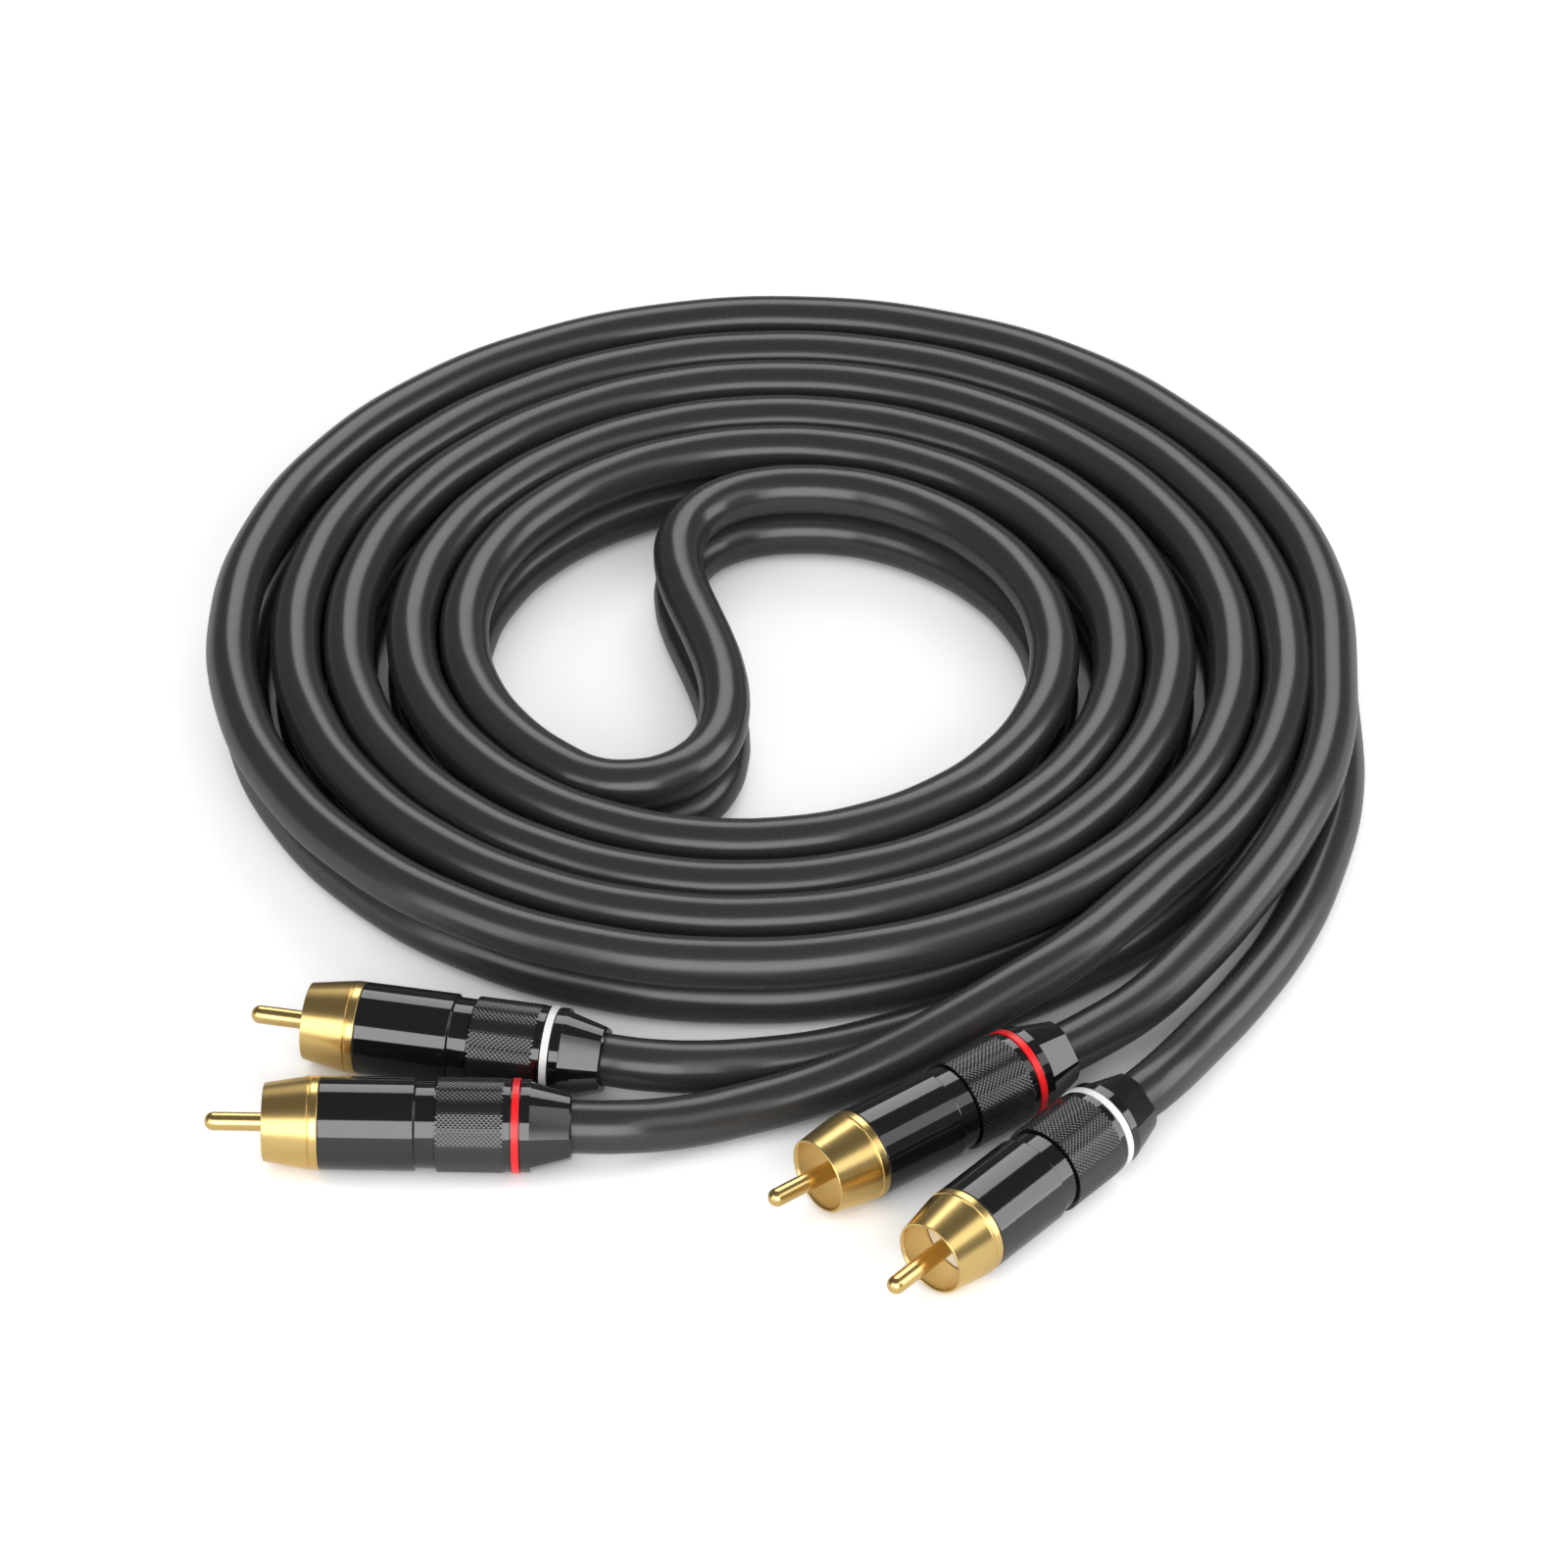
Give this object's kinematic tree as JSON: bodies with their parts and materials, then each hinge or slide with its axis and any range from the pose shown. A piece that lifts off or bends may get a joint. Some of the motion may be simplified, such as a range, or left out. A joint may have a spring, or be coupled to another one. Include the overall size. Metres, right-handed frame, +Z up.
{
  "type": "stereo audio cable",
  "caption": "Stereo phono audio cable, coiled flat: paired round black cords with a gold-shelled plug on every end, marked by red and white colour rings.",
  "frame": {"origin": "on the table, under the middle of the four plugs", "axes": "+Z up off the table, +Y from the plugs towards the coil, +X to the right as seen from the plugs' side"},
  "size_m": [0.1778, 0.236, 0.0164],
  "materials": {
    "cord_jacket": "satin PVC jacket, charcoal black",
    "gold_plating": "polished gold plating on turned brass",
    "insulator": "moulded, off-white",
    "bare_brass": "as turned, bare",
    "gloss_black_barrel": "gloss black plating on turned brass",
    "black_cap": "satin black plating, fine diamond knurl and tapered tail with four flats",
    "red_ring": "satin",
    "white_ring": "satin"
  },
  "bodies": {
    "root": {"coil": "cord_jacket", "middle_lower_cord": "cord_jacket", "middle_upper_cord": "cord_jacket", "left_white_tail_cord": "cord_jacket", "left_red_tail_cord": "cord_jacket", "right_red_tail_cord": "cord_jacket", "right_white_tail_cord": "cord_jacket", "left_white_cord_end": "cord_jacket", "left_red_cord_end": "cord_jacket", "right_red_cord_end": "cord_jacket", "right_white_cord_end": "cord_jacket", "left_white_centre_pin": "gold_plating", "left_red_centre_pin": "gold_plating", "right_red_centre_pin": "gold_plating", "right_white_centre_pin": "gold_plating", "left_white_ground_shell": "gold_plating", "left_red_ground_shell": "gold_plating", "right_red_ground_shell": "gold_plating", "right_white_ground_shell": "gold_plating", "left_white_insulator": "insulator", "left_red_insulator": "insulator", "right_red_insulator": "insulator", "right_white_insulator": "insulator", "left_white_ground_sleeve": "bare_brass", "left_red_ground_sleeve": "bare_brass", "right_red_ground_sleeve": "bare_brass", "right_white_ground_sleeve": "bare_brass", "left_white_cord_clamp": "bare_brass", "left_red_cord_clamp": "bare_brass", "right_red_cord_clamp": "bare_brass", "right_white_cord_clamp": "bare_brass", "left_white_barrel": "gloss_black_barrel", "left_red_barrel": "gloss_black_barrel", "right_red_barrel": "gloss_black_barrel", "right_white_barrel": "gloss_black_barrel", "left_white_rear_cap": "black_cap", "left_red_rear_cap": "black_cap", "right_red_rear_cap": "black_cap", "right_white_rear_cap": "black_cap", "left_white_colour_ring": "white_ring", "left_red_colour_ring": "red_ring", "right_red_colour_ring": "red_ring", "right_white_colour_ring": "white_ring"}
  },
  "joints": []
}
